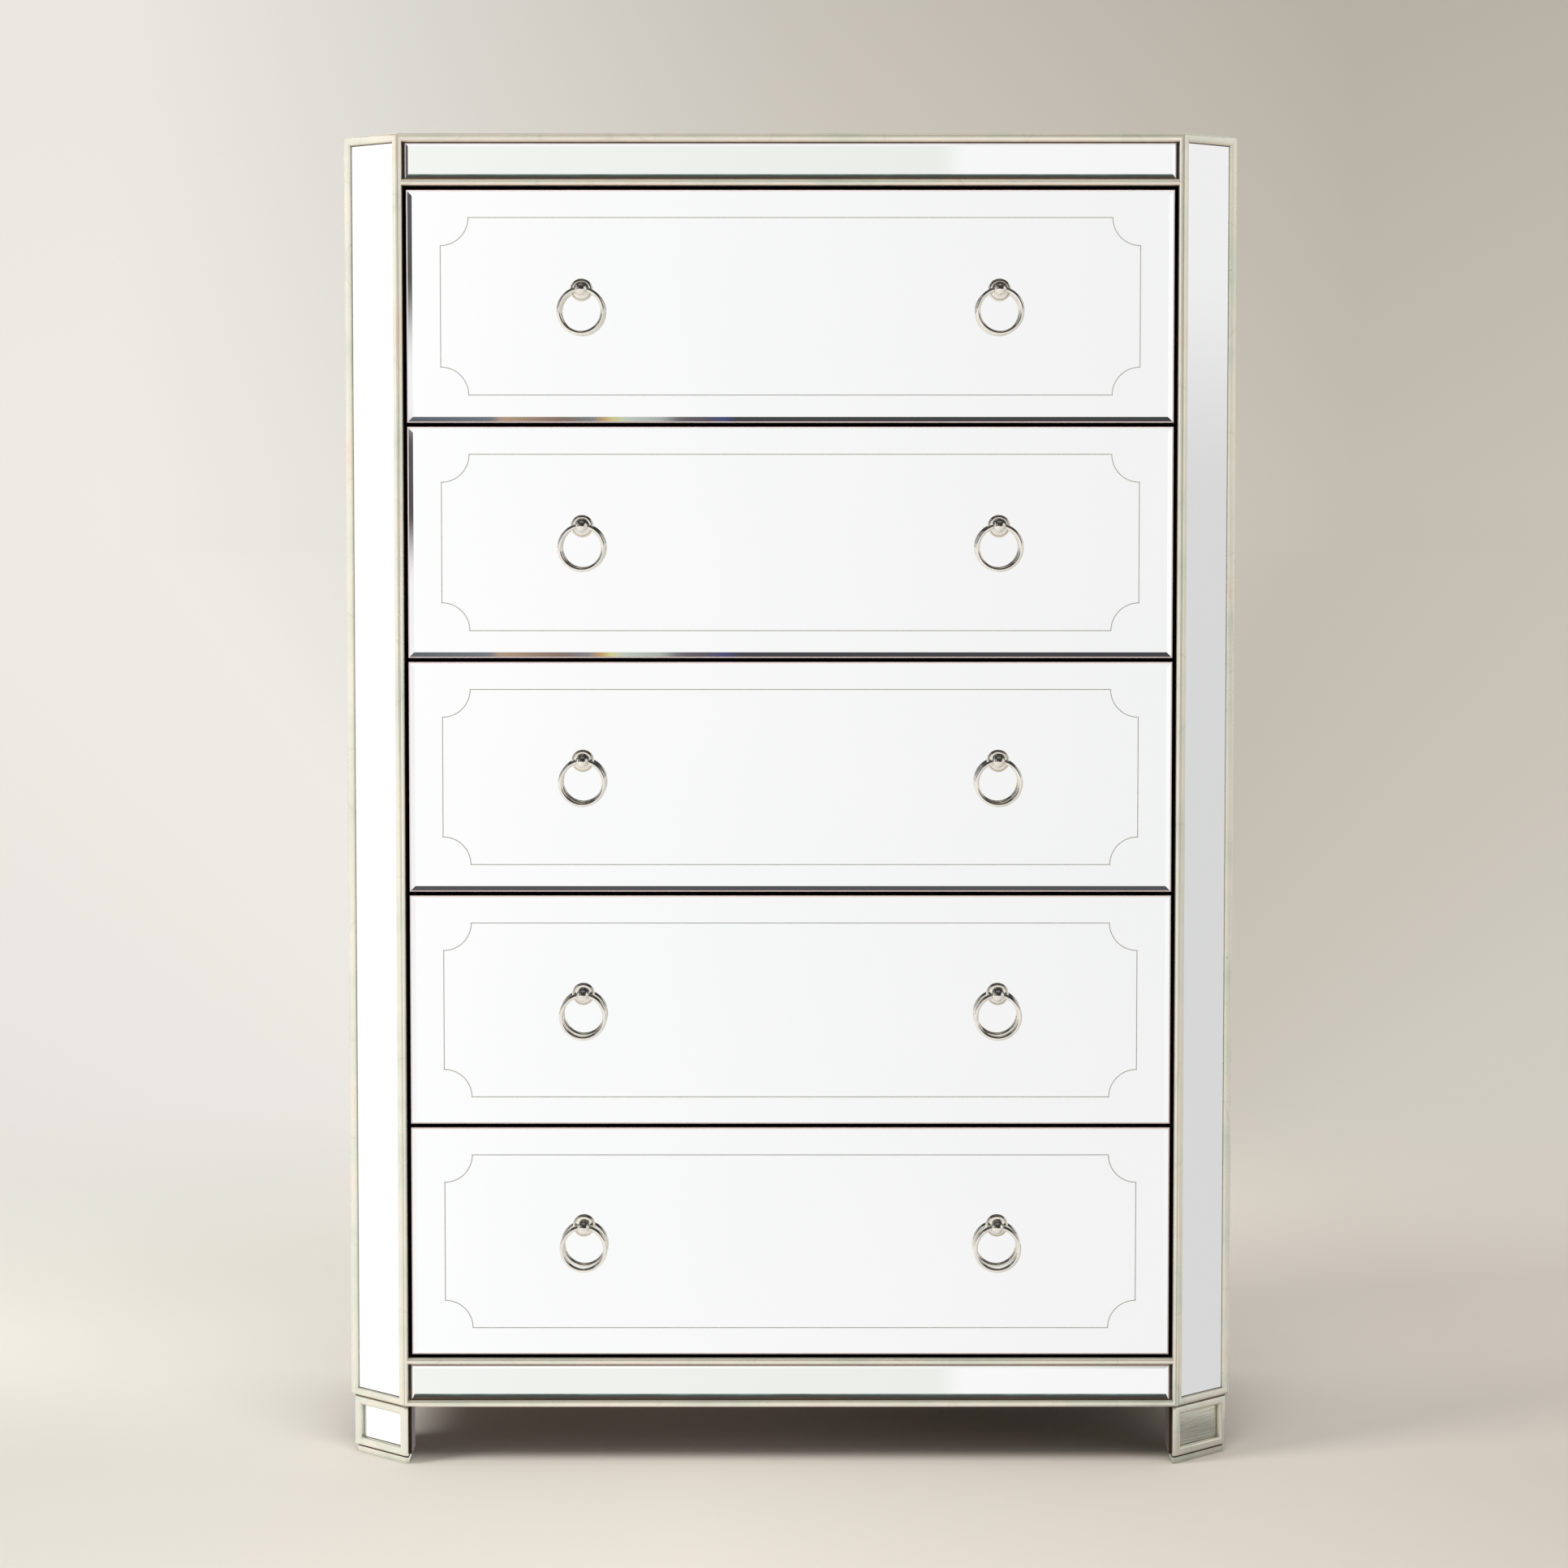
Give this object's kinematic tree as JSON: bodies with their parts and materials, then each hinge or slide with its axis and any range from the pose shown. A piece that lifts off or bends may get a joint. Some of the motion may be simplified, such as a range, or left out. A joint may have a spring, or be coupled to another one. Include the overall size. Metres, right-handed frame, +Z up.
{
  "type": "mirrored dresser",
  "caption": "Tall mirrored chest of drawers with canted corners, silvered bead frames, bevelled drawer mirrors and hanging ring pulls.",
  "frame": {"origin": "on the floor, under the middle of the dresser's bounding box, pulls included", "axes": "+X to the right as one faces the drawers, -Y out of the drawer fronts, +Z up"},
  "size_m": [0.94, 0.478, 1.397],
  "materials": {
    "top_board": "black paint, satin",
    "bottom_board": "black paint, satin",
    "left_side_panel": "black paint, satin",
    "right_side_panel": "black paint, satin",
    "face_frame": "black paint, satin",
    "back_panel": "dark grey painted board, matt",
    "left_runner_panel": "clear sealed hardwood",
    "left_bead_trim": "silver leaf over painted wood, satin, lightly worn",
    "left_corner_mirror": "silvered float glass, polished",
    "left_side_mirror": "silvered float glass, polished",
    "front_left_foot": "silver leaf over painted wood, satin, lightly worn",
    "back_left_foot": "silver leaf over painted wood, satin, lightly worn",
    "front_left_foot_mirror": "silvered float glass, polished",
    "right_runner_panel": "clear sealed hardwood",
    "right_bead_trim": "silver leaf over painted wood, satin, lightly worn",
    "right_corner_mirror": "silvered float glass, polished",
    "right_side_mirror": "silvered float glass, polished",
    "front_right_foot": "silver leaf over painted wood, satin, lightly worn",
    "back_right_foot": "silver leaf over painted wood, satin, lightly worn",
    "front_right_foot_mirror": "silvered float glass, polished",
    "front_bead_trim": "silver leaf over painted wood, satin, lightly worn",
    "upper_rail_mirror": "silvered float glass, polished",
    "lower_rail_mirror": "silvered float glass, polished",
    "top_mirror": "silvered float glass, polished",
    "drawer_1_box": "clear sealed hardwood",
    "drawer_1_front": "black paint, satin",
    "drawer_1_mirror": "silvered float glass, polished",
    "drawer_1_left_pull_post": "polished nickel plate",
    "drawer_1_left_ring": "polished nickel plate",
    "drawer_1_right_pull_post": "polished nickel plate",
    "drawer_1_right_ring": "polished nickel plate",
    "drawer_2_box": "clear sealed hardwood",
    "drawer_2_front": "black paint, satin",
    "drawer_2_mirror": "silvered float glass, polished",
    "drawer_2_left_pull_post": "polished nickel plate",
    "drawer_2_left_ring": "polished nickel plate",
    "drawer_2_right_pull_post": "polished nickel plate",
    "drawer_2_right_ring": "polished nickel plate",
    "drawer_3_box": "clear sealed hardwood",
    "drawer_3_front": "black paint, satin",
    "drawer_3_mirror": "silvered float glass, polished",
    "drawer_3_left_pull_post": "polished nickel plate",
    "drawer_3_left_ring": "polished nickel plate",
    "drawer_3_right_pull_post": "polished nickel plate",
    "drawer_3_right_ring": "polished nickel plate",
    "drawer_4_box": "clear sealed hardwood",
    "drawer_4_front": "black paint, satin",
    "drawer_4_mirror": "silvered float glass, polished",
    "drawer_4_left_pull_post": "polished nickel plate",
    "drawer_4_left_ring": "polished nickel plate",
    "drawer_4_right_pull_post": "polished nickel plate",
    "drawer_4_right_ring": "polished nickel plate",
    "drawer_5_box": "clear sealed hardwood",
    "drawer_5_front": "black paint, satin",
    "drawer_5_mirror": "silvered float glass, polished",
    "drawer_5_left_pull_post": "polished nickel plate",
    "drawer_5_left_ring": "polished nickel plate",
    "drawer_5_right_pull_post": "polished nickel plate",
    "drawer_5_right_ring": "polished nickel plate"
  },
  "bodies": {
    "cabinet": {"top_board": "top_board", "bottom_board": "bottom_board", "left_side_panel": "left_side_panel", "right_side_panel": "right_side_panel", "face_frame": "face_frame", "back_panel": "back_panel", "left_runner_panel": "left_runner_panel", "left_bead_trim": "left_bead_trim", "left_corner_mirror": "left_corner_mirror", "left_side_mirror": "left_side_mirror", "front_left_foot": "front_left_foot", "back_left_foot": "back_left_foot", "front_left_foot_mirror": "front_left_foot_mirror", "right_runner_panel": "right_runner_panel", "right_bead_trim": "right_bead_trim", "right_corner_mirror": "right_corner_mirror", "right_side_mirror": "right_side_mirror", "front_right_foot": "front_right_foot", "back_right_foot": "back_right_foot", "front_right_foot_mirror": "front_right_foot_mirror", "front_bead_trim": "front_bead_trim", "upper_rail_mirror": "upper_rail_mirror", "lower_rail_mirror": "lower_rail_mirror", "top_mirror": "top_mirror"},
    "drawer_1": {"drawer_1_box": "drawer_1_box", "drawer_1_front": "drawer_1_front", "drawer_1_mirror": "drawer_1_mirror", "drawer_1_left_pull_post": "drawer_1_left_pull_post", "drawer_1_right_pull_post": "drawer_1_right_pull_post"},
    "drawer_2": {"drawer_2_box": "drawer_2_box", "drawer_2_front": "drawer_2_front", "drawer_2_mirror": "drawer_2_mirror", "drawer_2_left_pull_post": "drawer_2_left_pull_post", "drawer_2_right_pull_post": "drawer_2_right_pull_post"},
    "drawer_3": {"drawer_3_box": "drawer_3_box", "drawer_3_front": "drawer_3_front", "drawer_3_mirror": "drawer_3_mirror", "drawer_3_left_pull_post": "drawer_3_left_pull_post", "drawer_3_right_pull_post": "drawer_3_right_pull_post"},
    "drawer_4": {"drawer_4_box": "drawer_4_box", "drawer_4_front": "drawer_4_front", "drawer_4_mirror": "drawer_4_mirror", "drawer_4_left_pull_post": "drawer_4_left_pull_post", "drawer_4_right_pull_post": "drawer_4_right_pull_post"},
    "drawer_5": {"drawer_5_box": "drawer_5_box", "drawer_5_front": "drawer_5_front", "drawer_5_mirror": "drawer_5_mirror", "drawer_5_left_pull_post": "drawer_5_left_pull_post", "drawer_5_right_pull_post": "drawer_5_right_pull_post"},
    "drawer_1_left_ring": {"drawer_1_left_ring": "drawer_1_left_ring"},
    "drawer_1_right_ring": {"drawer_1_right_ring": "drawer_1_right_ring"},
    "drawer_2_left_ring": {"drawer_2_left_ring": "drawer_2_left_ring"},
    "drawer_2_right_ring": {"drawer_2_right_ring": "drawer_2_right_ring"},
    "drawer_3_left_ring": {"drawer_3_left_ring": "drawer_3_left_ring"},
    "drawer_3_right_ring": {"drawer_3_right_ring": "drawer_3_right_ring"},
    "drawer_4_left_ring": {"drawer_4_left_ring": "drawer_4_left_ring"},
    "drawer_4_right_ring": {"drawer_4_right_ring": "drawer_4_right_ring"},
    "drawer_5_left_ring": {"drawer_5_left_ring": "drawer_5_left_ring"},
    "drawer_5_right_ring": {"drawer_5_right_ring": "drawer_5_right_ring"}
  },
  "joints": [
    {"name": "drawer_1_slide", "type": "slide", "parent": "cabinet", "child": "drawer_1", "axis": [0, -1, 0], "range_m": [0, 0.28]},
    {"name": "drawer_1_left_ring_swing", "type": "hinge", "parent": "drawer_1", "child": "drawer_1_left_ring", "pos_m": [-0.217, -0.232, 1.23484], "axis": [-1, 0, 0], "range_deg": [-15, 160]},
    {"name": "drawer_1_right_ring_swing", "type": "hinge", "parent": "drawer_1", "child": "drawer_1_right_ring", "pos_m": [0.217, -0.232, 1.23484], "axis": [-1, 0, 0], "range_deg": [-15, 160]},
    {"name": "drawer_2_slide", "type": "slide", "parent": "cabinet", "child": "drawer_2", "axis": [0, -1, 0], "range_m": [0, 0.28]},
    {"name": "drawer_2_left_ring_swing", "type": "hinge", "parent": "drawer_2", "child": "drawer_2_left_ring", "pos_m": [-0.217, -0.232, 0.98992], "axis": [-1, 0, 0], "range_deg": [-15, 160]},
    {"name": "drawer_2_right_ring_swing", "type": "hinge", "parent": "drawer_2", "child": "drawer_2_right_ring", "pos_m": [0.217, -0.232, 0.98992], "axis": [-1, 0, 0], "range_deg": [-15, 160]},
    {"name": "drawer_3_slide", "type": "slide", "parent": "cabinet", "child": "drawer_3", "axis": [0, -1, 0], "range_m": [0, 0.28]},
    {"name": "drawer_3_left_ring_swing", "type": "hinge", "parent": "drawer_3", "child": "drawer_3_left_ring", "pos_m": [-0.217, -0.232, 0.745], "axis": [-1, 0, 0], "range_deg": [-15, 160]},
    {"name": "drawer_3_right_ring_swing", "type": "hinge", "parent": "drawer_3", "child": "drawer_3_right_ring", "pos_m": [0.217, -0.232, 0.745], "axis": [-1, 0, 0], "range_deg": [-15, 160]},
    {"name": "drawer_4_slide", "type": "slide", "parent": "cabinet", "child": "drawer_4", "axis": [0, -1, 0], "range_m": [0, 0.28]},
    {"name": "drawer_4_left_ring_swing", "type": "hinge", "parent": "drawer_4", "child": "drawer_4_left_ring", "pos_m": [-0.217, -0.232, 0.50008], "axis": [-1, 0, 0], "range_deg": [-15, 160]},
    {"name": "drawer_4_right_ring_swing", "type": "hinge", "parent": "drawer_4", "child": "drawer_4_right_ring", "pos_m": [0.217, -0.232, 0.50008], "axis": [-1, 0, 0], "range_deg": [-15, 160]},
    {"name": "drawer_5_slide", "type": "slide", "parent": "cabinet", "child": "drawer_5", "axis": [0, -1, 0], "range_m": [0, 0.28]},
    {"name": "drawer_5_left_ring_swing", "type": "hinge", "parent": "drawer_5", "child": "drawer_5_left_ring", "pos_m": [-0.217, -0.232, 0.25516], "axis": [-1, 0, 0], "range_deg": [-15, 160]},
    {"name": "drawer_5_right_ring_swing", "type": "hinge", "parent": "drawer_5", "child": "drawer_5_right_ring", "pos_m": [0.217, -0.232, 0.25516], "axis": [-1, 0, 0], "range_deg": [-15, 160]}
  ]
}
